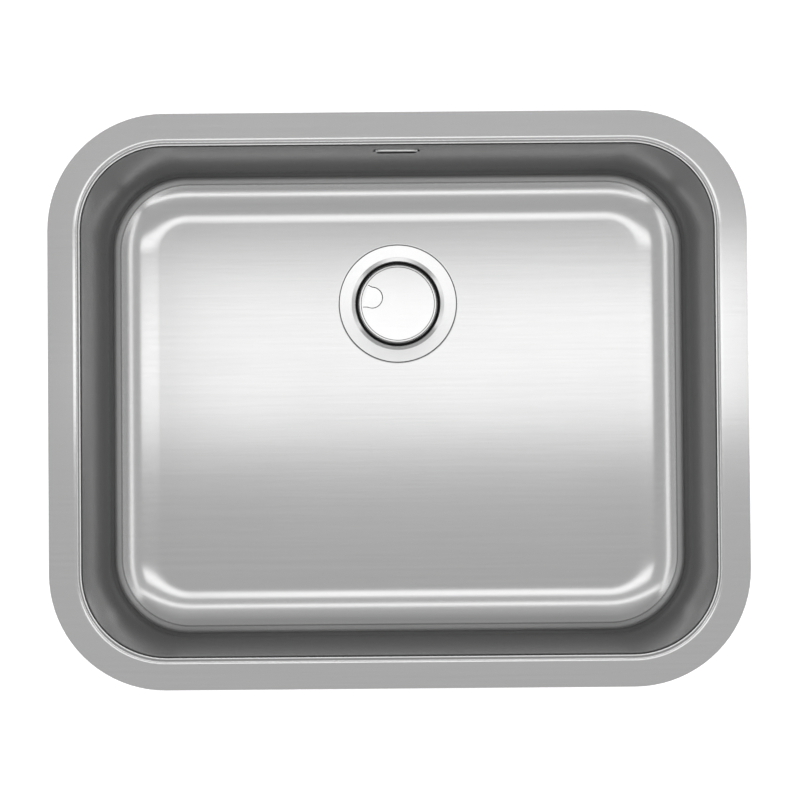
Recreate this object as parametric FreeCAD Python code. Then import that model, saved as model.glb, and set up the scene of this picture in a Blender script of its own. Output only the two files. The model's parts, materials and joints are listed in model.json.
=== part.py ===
"""Undermount kitchen sink with a basket strainer waste and a slot overflow.

Millimetres, +Z up, +X to the right and +Y to the back. The origin is the centre of the flange's
top face, which is the face that is bedded against the underside of a worktop.
"""

import FreeCAD, Part
import math
import os

from FreeCAD import Placement, Rotation, Vector

# ---------------------------------------------------------------- driving dimensions
# Small roundings and gaps
EDGE_BREAK = 0.4
MOULD_ROUND = 0.8
PRESS_ROUND = 2.0
RUNNING_GAP = 0.25
FIT_TOLERANCE = 1e-6
LEVEL_TOLERANCE = 1e-4

# Bowl: one deep-drawn stainless sheet
FLANGE_LENGTH = 610.0
FLANGE_WIDTH = 502.0
FLANGE_CORNER = 101.5
RIM_BAND = 29.0  # from the flange's edge to the wall line
SHEET = 1.0
LIP_RADIUS = 7.0
WALL_DRAFT = 1.8  # degrees
COVE_BAND_RUN = 24.9  # the slanted band between the cove's two arcs: its reach over the floor
COVE_BAND_RISE = 12.4  # and its rise up the wall
COVE_UPPER_RADIUS = 5.0  # from the wall into the band
COVE_LOWER_RADIUS = 70.0  # from the band into the floor
DEPTH = 185.0  # down to the floor at the waste
FLOOR_ROOM = 35.0  # how far forms that the floor trims reach past it
FLOOR_DISH_RADIUS = 25000.0  # the floor is a shallow dish, lowest at the waste
WASTE_BACK = 96.0  # waste centre, behind the bowl's centre
SEAT_RADIUS = 56.9  # pressed seat that the strainer's flange lies in
SEAT_DEPTH = 2.2
WASTE_HOLE_RADIUS = 45.0

# Sound deadening pad under the floor
PAD_LENGTH = 340.0
PAD_WIDTH = 170.0
PAD_CORNER = 20.0
PAD_THICKNESS = 2.5
PAD_CENTRE_Y = -75.0

# Strainer dish: flange, funnel, well and spider, heights below the bowl's floor
DISH_SHEET = 1.0
DISH_FLANGE_RADIUS = 56.0
FUNNEL_RADIUS = 43.8
THROAT_RADIUS = 39.4
FUNNEL_DEPTH = 3.5
WELL_DEPTH = 33.0
WELL_ROUND = 5.0
OUTLET_SEAT_RADIUS = 19.0
SEAT_ROUND = 1.5
OUTLET_LIP_DEPTH = 40.0
HUB_RADIUS = 8.0
SPOKE_WIDTH = 5.0
SPOKES = 3
SPOKE_START = 90.0  # degrees from +X

# Waste body and its screw
WASTE_SEAL_THICKNESS = 2.0
SEAL_INSET = 1.0
SEAL_BORE = 46.0
BODY_FLANGE_RADIUS = 56.0
BODY_FLANGE_THICKNESS = 4.0
BODY_RADIUS = 47.0
BODY_WALL = 3.0
BODY_CONE_TOP = 46.0
BODY_CONE_FOOT = 60.0
CONE_ROUND = 8.0
SPIGOT_RADIUS = 23.9  # thread for a one-and-a-half-inch trap
SPIGOT_BORE = 20.5
SPIGOT_FOOT = 84.0
SPIGOT_SHOULDER = 1.6
GUSSETS = 12
GUSSET_THICKNESS = 2.5
GUSSET_RISE = 6.0
GUSSET_INSET = 1.5
BOSS_RADIUS = 8.0
BOSS_TOP = 46.0
BOSS_FOOT = 60.0
WEB_THICKNESS = 2.5
WEB_START = 30.0  # degrees from +X, under the gaps between the spokes
INSERT_RADIUS = 4.2
INSERT_LENGTH = 12.0
SCREW_RADIUS = 3.0
SCREW_HEAD_RADIUS = 5.4
SCREW_HEAD_HEIGHT = 3.2
SCREW_SLOT = 1.4
SCREW_LENGTH = 19.0

# Strainer basket
RIM_DROP = 4.8  # rim below the floor
RIM_RADIUS = 38.4
CUP_SHEET = 0.8
CUP_TOP_RADIUS = 35.9
CUP_FOOT_RADIUS = 33.0
CUP_DEPTH = 24.0
CUP_FOOT_ROUND = 5.0
HOLE_RADIUS = 2.1
HOLE_RINGS = ((14.0, 8), (20.5, 12), (27.0, 16))  # ring radius, holes
SLITS = 16
SLIT_WIDTH = 3.0
SLIT_HEIGHT = 10.0
RIM_SEAL_RADIUS = 39.05
RIM_SEAL_BORE = 37.8
RIM_SEAL_GRIP = 1.8
STEM_RADIUS = 3.0  # heights on the stem are above the cup's floor
KNOB_RADIUS = 6.0
KNOB_TOP = 18.0
KNOB_FOOT = 13.0
NECK_TOP = 10.5
NECK_FOOT = 3.5
COLLAR_RADIUS = 8.0
COLLAR_HEIGHT = 1.5
PLUG_RADIUS = 24.0
PLUG_LIP_RADIUS = 17.0
PLUG_LIP_WIDTH = 3.5
PLUG_LIP_DEPTH = 1.0

# Strainer lid
LID_RADIUS = 37.5
LID_SHEET = 0.8
LID_EDGE_ROUND = 3.2
LID_DROP = 0.3  # lid's top below the bowl's floor
TONGUE_RADIUS = 9.7
TONGUE_REACH = 25.5  # tongue's round end, from the lid's centre
TONGUE_BEARING = 166.5  # degrees from +X
TONGUE_SIDES = (152.0, 180.0)  # degrees, the way each straight side runs out
TONGUE_ROOT_RADIUS = 33.8
TONGUE_SLIT = 0.5
TONGUE_BEND = 7.0  # degrees
CARRIER_THICKNESS = 1.3
CARRIER_REACH = 5.0  # below the basket's rim
CARRIER_INSET = 2.0

# Overflow, in the back wall's own frame
OVERFLOW_DROP = 32.0  # slot centre below the flange
SLOT_LENGTH = 38.5
SLOT_OPENING = 10.5
TRIM_LENGTH = 42.0
TRIM_HEIGHT = 16.0
TRIM_THICKNESS = 1.2
TRIM_ROUND = 0.8
SLEEVE_LENGTH = 37.5
SLEEVE_HEIGHT = 9.5
SLEEVE_WALL = 0.8
SLEEVE_REACH = 8.0
BARB = 1.2
BARB_WIDTH = 4.0
OVERFLOW_SEAL_THICKNESS = 2.0
HOUSING_LENGTH = 58.0
HOUSING_TOP = 13.0
HOUSING_FOOT = 15.0
HOUSING_BACK = 30.0
HOUSING_WALL = 2.5
HOUSING_ROUND = 6.0
MOUTH_LEDGE = 1.6

# Overflow hose and its two unions
HOSE_CUFF_RADIUS = 9.8
HOSE_BORE = 8.2
HOSE_CREST_RADIUS = 11.2
HOSE_ROOT_RADIUS = 9.4
RIB_PITCH = 6.0
HOSE_CUFF = 19.0
HOSE_BEND = 46.0
HOSE_END_GAP = 1.0
RIB_PROFILE = (
    (0.15, HOSE_ROOT_RADIUS),
    (0.4, HOSE_CREST_RADIUS),
    (0.75, HOSE_CREST_RADIUS),
    (1.0, HOSE_ROOT_RADIUS),
)  # share of the pitch, radius
UNION_RADIUS = 12.2
UNION_BORE = 10.0
UNION_LENGTH = 13.0
UNION_COLLAR = 1.8
SOCKET_STOP = 2.0
NUT_RADIUS = 14.9
NUT_LENGTH = 14.0
NUT_FLOOR = 2.0
NUT_GAP = 0.8  # between the upper nut and the wall
NUT_GRIPS = 12
GRIP_RADIUS = 1.6
WASHER_THICKNESS = 2.5
INLET_DROP = 29.0  # inlet axis below the bowl's floor
INLET_NECK = 8.0  # from the waste body to the inlet's thread
INLET_BORE = 7.5

# ---------------------------------------------------------------- derived places
BOWL_LENGTH = FLANGE_LENGTH - 2 * RIM_BAND
BOWL_WIDTH = FLANGE_WIDTH - 2 * RIM_BAND
BOWL_CORNER = FLANGE_CORNER - RIM_BAND
DRAFT_SLOPE = math.tan(math.radians(WALL_DRAFT))
WASTE_CENTRE = Vector(0, WASTE_BACK, -DEPTH)
SEAT_UNDERSIDE = SEAT_DEPTH + SHEET
BODY_TOP = SEAT_UNDERSIDE + WASTE_SEAL_THICKNESS
WALL_FRAME = Placement(
    Vector(0, BOWL_WIDTH / 2 - OVERFLOW_DROP * DRAFT_SLOPE, -OVERFLOW_DROP),
    Rotation(Vector(1, 0, 0), -WALL_DRAFT),
)
HOUSING_FRONT = SHEET + OVERFLOW_SEAL_THICKNESS
UNION_AXIS_Y = SHEET + NUT_RADIUS + NUT_GAP
INLET_REACH = BODY_RADIUS + INLET_NECK + UNION_LENGTH
UPPER_UNION = WALL_FRAME.multiply(Placement(Vector(0, UNION_AXIS_Y, -HOUSING_FOOT - UNION_LENGTH), Rotation()))
LOWER_UNION = Placement(
    WASTE_CENTRE + Vector(0, INLET_REACH, -INLET_DROP),
    Rotation(Vector(1, 0, 0), 90),
)
Z_AXIS = Vector(0, 0, 1)


# ---------------------------------------------------------------- shape helpers
def rounded_rectangle(length, width, radius, height):
    """A closed outline round the Z axis, at one height."""
    x, y = length / 2, width / 2
    edges = []
    for quarter in range(4):
        turn = Rotation(Z_AXIS, 90 * quarter)
        half_run, half_side = (x, y) if quarter % 2 == 0 else (y, x)
        start = turn.multVec(Vector(half_run, -half_side + radius, 0))
        end = turn.multVec(Vector(half_run, half_side - radius, 0))
        middle = Vector(half_run - radius, half_side - radius, 0)
        bow = radius * math.sqrt(0.5)
        arc_middle = turn.multVec(middle + Vector(bow, bow, 0))
        arc_end = turn.multVec(middle + Vector(0, radius, 0))
        edges.append(Part.LineSegment(start, end).toShape())
        edges.append(Part.Arc(end, arc_middle, arc_end).toShape())
    outline = Part.Wire(edges)
    outline.translate(Vector(0, 0, height))
    return outline


def stadium(length, height, front, back):
    """A bar with full round ends along X, running from front to back along Y."""
    radius, half = height / 2, length / 2 - height / 2
    top_left, top_right = Vector(-half, front, radius), Vector(half, front, radius)
    low_left, low_right = Vector(-half, front, -radius), Vector(half, front, -radius)
    outline = Part.Wire(
        [
            Part.LineSegment(top_left, top_right).toShape(),
            Part.Arc(top_right, Vector(half + radius, front, 0), low_right).toShape(),
            Part.LineSegment(low_right, low_left).toShape(),
            Part.Arc(low_left, Vector(-half - radius, front, 0), top_left).toShape(),
        ]
    )
    return Part.Face(outline).extrude(Vector(0, back - front, 0))


def rounded_profile(corners):
    """A closed outline of (x, z, rounding) corners in the XZ plane. A corner with no rounding is sharp."""
    points = [Vector(corner[0], 0, corner[1]) for corner in corners]
    runs = []
    for i, corner in enumerate(corners):
        here = points[i]
        if len(corner) == 2:
            runs.append((here, None, here))
            continue
        radius = corner[2]
        back = (points[i - 1] - here).normalize()
        ahead = (points[(i + 1) % len(points)] - here).normalize()
        half = back.getAngle(ahead) / 2
        centre = here + (back + ahead).normalize() * (radius / math.sin(half))
        reach = radius / math.tan(half)
        runs.append((here + back * reach, centre + (here - centre).normalize() * radius, here + ahead * reach))
    edges = []
    for i, (arc_start, arc_middle, arc_end) in enumerate(runs):
        edges.append(Part.LineSegment(runs[i - 1][2], arc_start).toShape())
        if arc_middle:
            edges.append(Part.Arc(arc_start, arc_middle, arc_end).toShape())
    return Part.Wire(edges)


def turned(corners):
    """A solid of revolution about Z from a closed profile of (radius, height, rounding) corners."""
    return Part.Face(rounded_profile(corners)).revolve(Vector(0, 0, 0), Z_AXIS, 360)


def tube(outer, bore, low, high):
    """A plain ring about Z between two heights."""
    foot = Vector(0, 0, low)
    return Part.makeCylinder(outer, high - low, foot).cut(Part.makeCylinder(bore, high - low, foot))


def around(shape, count, start=0.0):
    """Copies of a shape, evenly spaced about the Z axis."""
    copies = []
    for i in range(count):
        copy = shape.copy()
        copy.rotate(Vector(0, 0, 0), Z_AXIS, start + 360.0 * i / count)
        copies.append(copy)
    return copies


def at_waste(shape):
    """Places a piece that is modelled about the waste's own axis, with 0 at the bowl's floor."""
    shape.translate(WASTE_CENTRE)
    return shape


def at_wall(shape):
    """Places a piece that is modelled in the back wall's own frame."""
    shape.Placement = WALL_FRAME.multiply(shape.Placement)
    return shape


# ---------------------------------------------------------------- bowl
def floor_ball(offset):
    """The large ball whose underside is the dished floor."""
    ball = Part.makeSphere(FLOOR_DISH_RADIUS + offset)
    ball.rotate(Vector(0, 0, 0), Vector(1, 0, 0), 90)
    ball.translate(WASTE_CENTRE + Vector(0, 0, FLOOR_DISH_RADIUS))
    return ball


def lowest_face(shape):
    return min(shape.Faces, key=lambda face: face.CenterOfMass.z)


def coved(form, offset):
    """Turns the foot of the walls into the floor by a short arc, a slanted band and a long arc."""
    band = math.hypot(COVE_BAND_RUN, COVE_BAND_RISE)
    growth = 1 + 2 * offset / (COVE_BAND_RUN + COVE_BAND_RISE + band)
    foot = lowest_face(form).OuterWire.Edges
    form = form.makeChamfer(COVE_BAND_RUN * growth, COVE_BAND_RISE * growth, foot)
    floor_top = lowest_face(form).OuterWire.BoundBox.ZMax
    crease = []
    for edge in form.Edges:
        if edge.BoundBox.ZMin > floor_top and edge.BoundBox.ZMax < -DEPTH / 2:
            crease.append(edge)
    form = form.makeFillet(COVE_UPPER_RADIUS + offset, crease)
    return form.makeFillet(COVE_LOWER_RADIUS + offset, lowest_face(form).OuterWire.Edges)


def pan(offset):
    """The bowl's inner form, grown by offset: drafted walls, dished floor and a coved foot."""
    deep = DEPTH + FLOOR_ROOM
    inset = deep * DRAFT_SLOPE
    grow = 2 * offset
    top = rounded_rectangle(BOWL_LENGTH + grow, BOWL_WIDTH + grow, BOWL_CORNER + offset, 0)
    foot = rounded_rectangle(
        BOWL_LENGTH + grow - 2 * inset,
        BOWL_WIDTH + grow - 2 * inset,
        BOWL_CORNER + offset,
        -deep,
    )
    return coved(Part.makeLoft([top, foot], True, True).common(floor_ball(offset)), offset)


def edges_at(shape, height, half_length, half_width):
    """Edges that lie at one height, inside a rectangle about the Z axis."""
    found = []
    for edge in shape.Edges:
        box = edge.BoundBox
        level = max(abs(box.ZMin - height), abs(box.ZMax - height)) < LEVEL_TOLERANCE
        inside = max(-box.XMin, box.XMax) < half_length and max(-box.YMin, box.YMax) < half_width
        if level and inside:
            found.append(edge)
    return found


def sink_bowl():
    """Flange, rolled lip, walls, cove and floor in one sheet, with the waste's seat and the slot."""
    outline = rounded_rectangle(FLANGE_LENGTH, FLANGE_WIDTH, FLANGE_CORNER, 0)
    flange = Part.Face(outline).extrude(Vector(0, 0, -SHEET))
    shell = flange.fuse(pan(SHEET)).removeSplitter()
    near_length, near_width = BOWL_LENGTH / 2 + LIP_RADIUS, BOWL_WIDTH / 2 + LIP_RADIUS
    shell = shell.makeFillet(LIP_RADIUS - SHEET, edges_at(shell, -SHEET, near_length, near_width))
    shell = shell.cut(pan(0))
    shell = shell.makeFillet(LIP_RADIUS, edges_at(shell, 0, near_length, near_width))
    seat = at_waste(Part.makeCylinder(SEAT_RADIUS + SHEET, SEAT_UNDERSIDE, Vector(0, 0, -SEAT_UNDERSIDE)))
    recess = at_waste(Part.makeCylinder(SEAT_RADIUS, SEAT_DEPTH + 2 * SHEET, Vector(0, 0, -SEAT_DEPTH)))
    hole = at_waste(Part.makeCylinder(WASTE_HOLE_RADIUS, 2 * SEAT_DEPTH, Vector(0, 0, -2 * SEAT_DEPTH)))
    slot = at_wall(stadium(SLOT_LENGTH, SLOT_OPENING, -LIP_RADIUS, LIP_RADIUS))
    return shell.fuse(seat).cut([recess, hole, slot])


def sound_pad():
    """A rubber pad bonded under the floor, in front of the waste."""
    outline = rounded_rectangle(PAD_LENGTH, PAD_WIDTH, PAD_CORNER, -DEPTH - FLOOR_ROOM)
    block = Part.Face(outline).extrude(Vector(0, 0, 2 * FLOOR_ROOM))
    block.translate(Vector(0, PAD_CENTRE_Y, 0))
    return block.common(floor_ball(SHEET + PAD_THICKNESS)).cut(floor_ball(SHEET))


# ---------------------------------------------------------------- waste
def strainer_dish():
    """Flange, funnel and well in one pressed sheet, with a spider that the screw pulls down."""
    t = DISH_SHEET
    skin = [
        (DISH_FLANGE_RADIUS, 0),
        (FUNNEL_RADIUS, 0, PRESS_ROUND),
        (THROAT_RADIUS, -FUNNEL_DEPTH, PRESS_ROUND),
        (THROAT_RADIUS, -WELL_DEPTH, WELL_ROUND),
        (OUTLET_SEAT_RADIUS, -WELL_DEPTH, SEAT_ROUND),
        (OUTLET_SEAT_RADIUS, -OUTLET_LIP_DEPTH),
    ]
    back = [
        (OUTLET_SEAT_RADIUS + t, -OUTLET_LIP_DEPTH),
        (OUTLET_SEAT_RADIUS + t, -WELL_DEPTH - t, EDGE_BREAK),
        (THROAT_RADIUS + t, -WELL_DEPTH - t, WELL_ROUND + t),
        (THROAT_RADIUS + t, -FUNNEL_DEPTH - t / 2, PRESS_ROUND / 2),
        (FUNNEL_RADIUS + t / 2, -t, PRESS_ROUND / 2),
        (DISH_FLANGE_RADIUS, -t),
    ]
    hub = Part.makeCylinder(HUB_RADIUS, t, Vector(0, 0, -OUTLET_LIP_DEPTH))
    spoke = Part.makeBox(OUTLET_SEAT_RADIUS + t / 2, SPOKE_WIDTH, t)
    spoke.translate(Vector(0, -SPOKE_WIDTH / 2, -OUTLET_LIP_DEPTH))
    dish = turned(skin + back).fuse([hub] + around(spoke, SPOKES, SPOKE_START))
    screw_hole = Part.makeCylinder(SCREW_RADIUS + RUNNING_GAP, 2 * t, Vector(0, 0, -OUTLET_LIP_DEPTH - t / 2))
    return at_waste(dish.cut(screw_hole))


def dish_seal():
    """Flat rubber ring between the dish's flange and the pressed seat."""
    return at_waste(tube(DISH_FLANGE_RADIUS - SEAL_INSET, SEAL_BORE, -SEAT_DEPTH, -DISH_SHEET))


def waste_seal():
    """Rubber ring between the bowl's underside and the waste body."""
    return at_waste(tube(BODY_FLANGE_RADIUS - SEAL_INSET, SEAL_BORE, -BODY_TOP, -SEAT_UNDERSIDE))


def body_shell():
    """The waste body's cup, cone and spigot, with its clamping flange."""
    bore = BODY_RADIUS - BODY_WALL
    flange_foot = -BODY_TOP - BODY_FLANGE_THICKNESS
    return turned(
        [
            (bore, -BODY_TOP),
            (BODY_FLANGE_RADIUS, -BODY_TOP, MOULD_ROUND),
            (BODY_FLANGE_RADIUS, flange_foot, MOULD_ROUND),
            (BODY_RADIUS, flange_foot, MOULD_ROUND),
            (BODY_RADIUS, -BODY_CONE_TOP, CONE_ROUND),
            (SPIGOT_RADIUS + SPIGOT_SHOULDER, -BODY_CONE_FOOT),
            (SPIGOT_RADIUS, -BODY_CONE_FOOT - SPIGOT_SHOULDER),
            (SPIGOT_RADIUS, -SPIGOT_FOOT, MOULD_ROUND),
            (SPIGOT_BORE, -SPIGOT_FOOT),
            (SPIGOT_BORE, -BODY_CONE_FOOT, BODY_WALL),
            (bore, -BODY_CONE_TOP, CONE_ROUND - BODY_WALL),
        ]
    )


def body_gusset():
    """A triangular rib that carries the clamping flange on the cup's outside."""
    foot, top = -BODY_CONE_TOP + GUSSET_RISE, -BODY_TOP - BODY_FLANGE_THICKNESS
    inner, outer = BODY_RADIUS - BODY_WALL / 2, BODY_FLANGE_RADIUS - GUSSET_INSET
    corners = [Vector(inner, 0, foot), Vector(outer, 0, top), Vector(inner, 0, top), Vector(inner, 0, foot)]
    gusset = Part.Face(Part.makePolygon(corners)).extrude(Vector(0, GUSSET_THICKNESS, 0))
    gusset.translate(Vector(0, -GUSSET_THICKNESS / 2, 0))
    return gusset


def screw_boss():
    """The boss that the screw is driven into, hung in the cone on webs."""
    height = BOSS_FOOT - BOSS_TOP
    foot = Vector(0, 0, -BOSS_FOOT)
    reach = BODY_RADIUS - BODY_WALL / 2
    cone = Part.makeCone(SPIGOT_BORE + BODY_WALL / 2, reach, height, foot)
    web = Part.makeBox(reach, WEB_THICKNESS, height)
    web.translate(foot - Vector(0, WEB_THICKNESS / 2, 0))
    webs = [each.common(cone) for each in around(web, SPOKES, WEB_START)]
    return [Part.makeCylinder(BOSS_RADIUS, height, foot)] + webs


def backwards(radius, start, end):
    """A cylinder on the overflow inlet's axis, between two distances from the waste's axis."""
    return Part.makeCylinder(radius, end - start, Vector(0, start, -INLET_DROP), Vector(0, 1, 0))


def waste_body():
    """Moulded cup with an outlet spigot, an overflow inlet, gussets and the screw's boss."""
    bore = BODY_RADIUS - BODY_WALL
    inlet_start = BODY_RADIUS - 2 * BODY_WALL
    thread_start = INLET_REACH - UNION_LENGTH
    cup_space = Part.makeCylinder(bore + BODY_WALL / 2, BODY_CONE_TOP, Vector(0, 0, -BODY_CONE_TOP))
    inlet = backwards(UNION_RADIUS, inlet_start, INLET_REACH)
    collar = backwards(UNION_RADIUS + UNION_COLLAR, inlet_start, thread_start)
    inlet = inlet.fuse(collar).cut(cup_space)
    gussets = around(body_gusset(), GUSSETS, 180.0 / GUSSETS)
    body = body_shell().fuse(gussets + screw_boss() + [inlet])
    passage = backwards(INLET_BORE, inlet_start, INLET_REACH)
    socket = backwards(UNION_BORE, thread_start + SOCKET_STOP, INLET_REACH)
    insert_hole = Part.makeCylinder(INSERT_RADIUS, INSERT_LENGTH, Vector(0, 0, -BOSS_TOP - INSERT_LENGTH))
    return at_waste(body.cut([passage, socket, insert_hole]))


def screw_insert():
    """Brass threaded bush moulded into the boss."""
    return at_waste(tube(INSERT_RADIUS, SCREW_RADIUS, -BOSS_TOP - INSERT_LENGTH, -BOSS_TOP))


def waste_screw():
    """Slotted cheese-head screw that pulls the dish and the waste body together."""
    seat = -OUTLET_LIP_DEPTH + DISH_SHEET
    top = seat + SCREW_HEAD_HEIGHT
    head = turned(
        [
            (0, seat),
            (SCREW_HEAD_RADIUS, seat),
            (SCREW_HEAD_RADIUS, top, MOULD_ROUND),
            (0, top),
        ]
    )
    shank = Part.makeCylinder(SCREW_RADIUS, SCREW_LENGTH, Vector(0, 0, seat - SCREW_LENGTH))
    drive = Part.makeBox(4 * SCREW_HEAD_RADIUS, SCREW_SLOT, SCREW_HEAD_HEIGHT)
    drive.translate(Vector(-2 * SCREW_HEAD_RADIUS, -SCREW_SLOT / 2, seat + SCREW_HEAD_HEIGHT / 2))
    return at_waste(head.fuse(shank).cut(drive))


# ---------------------------------------------------------------- strainer basket
def basket_cup():
    """Pressed cup with a turned-out rim, rings of round holes and a row of side slots."""
    t = CUP_SHEET
    rim, floor = -RIM_DROP, -RIM_DROP - CUP_DEPTH
    cup = turned(
        [
            (RIM_RADIUS, rim),
            (CUP_TOP_RADIUS - t, rim, 2 * EDGE_BREAK),
            (CUP_FOOT_RADIUS - t, floor + t, CUP_FOOT_ROUND - t),
            (STEM_RADIUS, floor + t),
            (STEM_RADIUS, floor),
            (CUP_FOOT_RADIUS, floor, CUP_FOOT_ROUND),
            (CUP_TOP_RADIUS, rim - t),
            (RIM_RADIUS, rim - t),
        ]
    )
    tools = []
    for ring, holes in HOLE_RINGS:
        hole = Part.makeCylinder(HOLE_RADIUS, 4 * t, Vector(ring, 0, floor - 2 * t))
        tools += around(hole, holes, 180.0 / holes)
    slot = stadium(SLIT_HEIGHT, SLIT_WIDTH, CUP_FOOT_RADIUS - CUP_FOOT_ROUND, RIM_RADIUS)
    slot.rotate(Vector(0, 0, 0), Vector(0, 1, 0), 90)
    slot.translate(Vector(0, 0, rim - CUP_DEPTH / 2))
    tools += around(slot, SLITS)
    return at_waste(cup.cut(tools))


def basket_rim_seal():
    """Black rubber ring gripping the basket's rim and closing the gap to the throat."""
    rim, t = -RIM_DROP, CUP_SHEET
    foot = rim - t - RIM_SEAL_GRIP
    ring = turned(
        [
            (RIM_SEAL_BORE, rim + RIM_SEAL_GRIP, EDGE_BREAK),
            (RIM_SEAL_RADIUS, rim + RIM_SEAL_GRIP, EDGE_BREAK),
            (RIM_SEAL_RADIUS, foot, EDGE_BREAK),
            (RIM_SEAL_BORE, foot),
        ]
    )
    return at_waste(ring.cut(tube(RIM_RADIUS, RIM_SEAL_BORE - t, rim - t, rim)))


def basket_stem():
    """Turned post: knob to lift by, collar on the cup's floor, and a tail that carries the plug."""
    floor = -RIM_DROP - CUP_DEPTH + CUP_SHEET
    tail = -WELL_DEPTH - PLUG_LIP_DEPTH
    stem = turned(
        [
            (0, floor + KNOB_TOP),
            (KNOB_RADIUS, floor + KNOB_TOP, 2 * MOULD_ROUND),
            (KNOB_RADIUS, floor + KNOB_FOOT, MOULD_ROUND),
            (STEM_RADIUS, floor + NECK_TOP, MOULD_ROUND),
            (STEM_RADIUS, floor + NECK_FOOT, MOULD_ROUND),
            (COLLAR_RADIUS, floor + COLLAR_HEIGHT, EDGE_BREAK),
            (COLLAR_RADIUS, floor),
            (STEM_RADIUS, floor),
            (STEM_RADIUS, tail, EDGE_BREAK),
            (0, tail),
        ]
    )
    return at_waste(stem)


def basket_plug():
    """Rubber stopper under the cup. It beds on the well's floor and its lip reaches into the outlet."""
    lip = -WELL_DEPTH - PLUG_LIP_DEPTH
    plug = turned(
        [
            (STEM_RADIUS, -RIM_DROP - CUP_DEPTH),
            (PLUG_RADIUS, -RIM_DROP - CUP_DEPTH, 2 * EDGE_BREAK),
            (PLUG_RADIUS, -WELL_DEPTH, EDGE_BREAK),
            (PLUG_LIP_RADIUS, -WELL_DEPTH),
            (PLUG_LIP_RADIUS - PLUG_LIP_DEPTH / 2, lip, EDGE_BREAK / 2),
            (PLUG_LIP_RADIUS - PLUG_LIP_WIDTH, lip),
            (PLUG_LIP_RADIUS - PLUG_LIP_WIDTH - PLUG_LIP_DEPTH, -WELL_DEPTH),
            (STEM_RADIUS, -WELL_DEPTH),
        ]
    )
    return at_waste(plug)


# ---------------------------------------------------------------- strainer lid
def tongue_outline(margin):
    """The finger tongue on the lid: its root's two ends, where its sides meet its round end, its tip."""
    bearing = math.radians(TONGUE_BEARING)
    centre = Vector(math.cos(bearing), math.sin(bearing), 0) * TONGUE_REACH
    radius = TONGUE_RADIUS + margin
    roots, touches = [], []
    for angle, side in zip(TONGUE_SIDES, (-90, 90)):
        run = Rotation(Z_AXIS, angle).multVec(Vector(1, 0, 0))
        touch = centre + Rotation(Z_AXIS, side).multVec(run) * radius
        along = touch.dot(run)
        travel = math.sqrt(along**2 - touch.dot(touch) + TONGUE_ROOT_RADIUS**2) - along
        touches.append(touch)
        roots.append(touch + run * travel)
    tip = centre - (roots[0] + roots[1] - centre * 2).normalize() * radius
    return roots, touches, tip


def tongue_plate(margin, low, high):
    """A plate of the tongue's outline between two heights."""
    roots, touches, tip = tongue_outline(margin)
    outline = Part.Wire(
        [
            Part.LineSegment(roots[0], touches[0]).toShape(),
            Part.Arc(touches[0], tip, touches[1]).toShape(),
            Part.LineSegment(touches[1], roots[1]).toShape(),
            Part.LineSegment(roots[1], roots[0]).toShape(),
        ]
    )
    plate = Part.Face(outline).extrude(Vector(0, 0, high - low))
    plate.translate(Vector(0, 0, low))
    return plate


def lid_disc():
    """Pressed lid with a turned-down edge, and a tongue cut free and bent down for a fingertip."""
    top, t = -LID_DROP, LID_SHEET
    disc = turned(
        [
            (0, top),
            (LID_RADIUS, top, LID_EDGE_ROUND),
            (LID_RADIUS, -RIM_DROP),
            (LID_RADIUS - t, -RIM_DROP),
            (LID_RADIUS - t, top - t, LID_EDGE_ROUND - t),
            (0, top - t),
        ]
    )
    disc = disc.cut(tongue_plate(TONGUE_SLIT, top - 2 * t, top + t))
    roots = tongue_outline(0)[0]
    hinge = (roots[1] - roots[0]).normalize()
    tongue = tongue_plate(0, top - t, top)
    tongue.rotate(roots[0] + Vector(0, 0, top), hinge, -TONGUE_BEND)
    middle = (roots[0] + roots[1]) / 2
    bend = Part.makeCylinder(2 * t, 4 * TONGUE_RADIUS, middle - hinge * 2 * TONGUE_RADIUS, hinge)
    bridge = tongue_plate(TONGUE_SLIT, top - t, top).common(bend)
    return at_waste(disc.fuse([bridge, tongue]))


def lid_carrier():
    """Plastic ring pressed into the lid, with a collar that centres it in the basket."""
    rim, bore = -RIM_DROP, LID_RADIUS - LID_SHEET
    collar = CUP_TOP_RADIUS - CARRIER_INSET
    ring = turned(
        [
            (bore, rim),
            (bore, rim + CARRIER_THICKNESS),
            (collar - CARRIER_THICKNESS, rim + CARRIER_THICKNESS),
            (collar - CARRIER_THICKNESS, rim - CARRIER_REACH, EDGE_BREAK),
            (collar, rim - CARRIER_REACH, EDGE_BREAK),
            (collar, rim),
        ]
    )
    return at_waste(ring)


# ---------------------------------------------------------------- overflow
def overflow_trim():
    """Stainless slot frame. Its sleeve passes the wall, and two barbs on it hold the housing."""
    plate = stadium(TRIM_LENGTH, TRIM_HEIGHT, -TRIM_THICKNESS, 0)
    front = [edge for edge in plate.Edges if edge.BoundBox.YMax < -TRIM_THICKNESS / 2]
    plate = plate.makeFillet(TRIM_ROUND, front)
    sleeve = stadium(SLEEVE_LENGTH, SLEEVE_HEIGHT, -TRIM_THICKNESS / 2, SLEEVE_REACH)
    root, catch = SLEEVE_LENGTH / 2 - SLEEVE_WALL, HOUSING_FRONT + MOUTH_LEDGE
    corners = [
        Vector(root, catch, -BARB_WIDTH / 2),
        Vector(SLEEVE_LENGTH / 2 + BARB, catch, -BARB_WIDTH / 2),
        Vector(root, SLEEVE_REACH, -BARB_WIDTH / 2),
        Vector(root, catch, -BARB_WIDTH / 2),
    ]
    barb = Part.Face(Part.makePolygon(corners)).extrude(Vector(0, 0, BARB_WIDTH))
    other_barb = barb.mirror(Vector(0, 0, 0), Vector(1, 0, 0))
    slot = stadium(
        SLEEVE_LENGTH - 2 * SLEEVE_WALL, SLEEVE_HEIGHT - 2 * SLEEVE_WALL, -SLEEVE_REACH, 2 * SLEEVE_REACH
    )
    return at_wall(plate.fuse([sleeve, barb, other_barb]).cut(slot))


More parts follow.
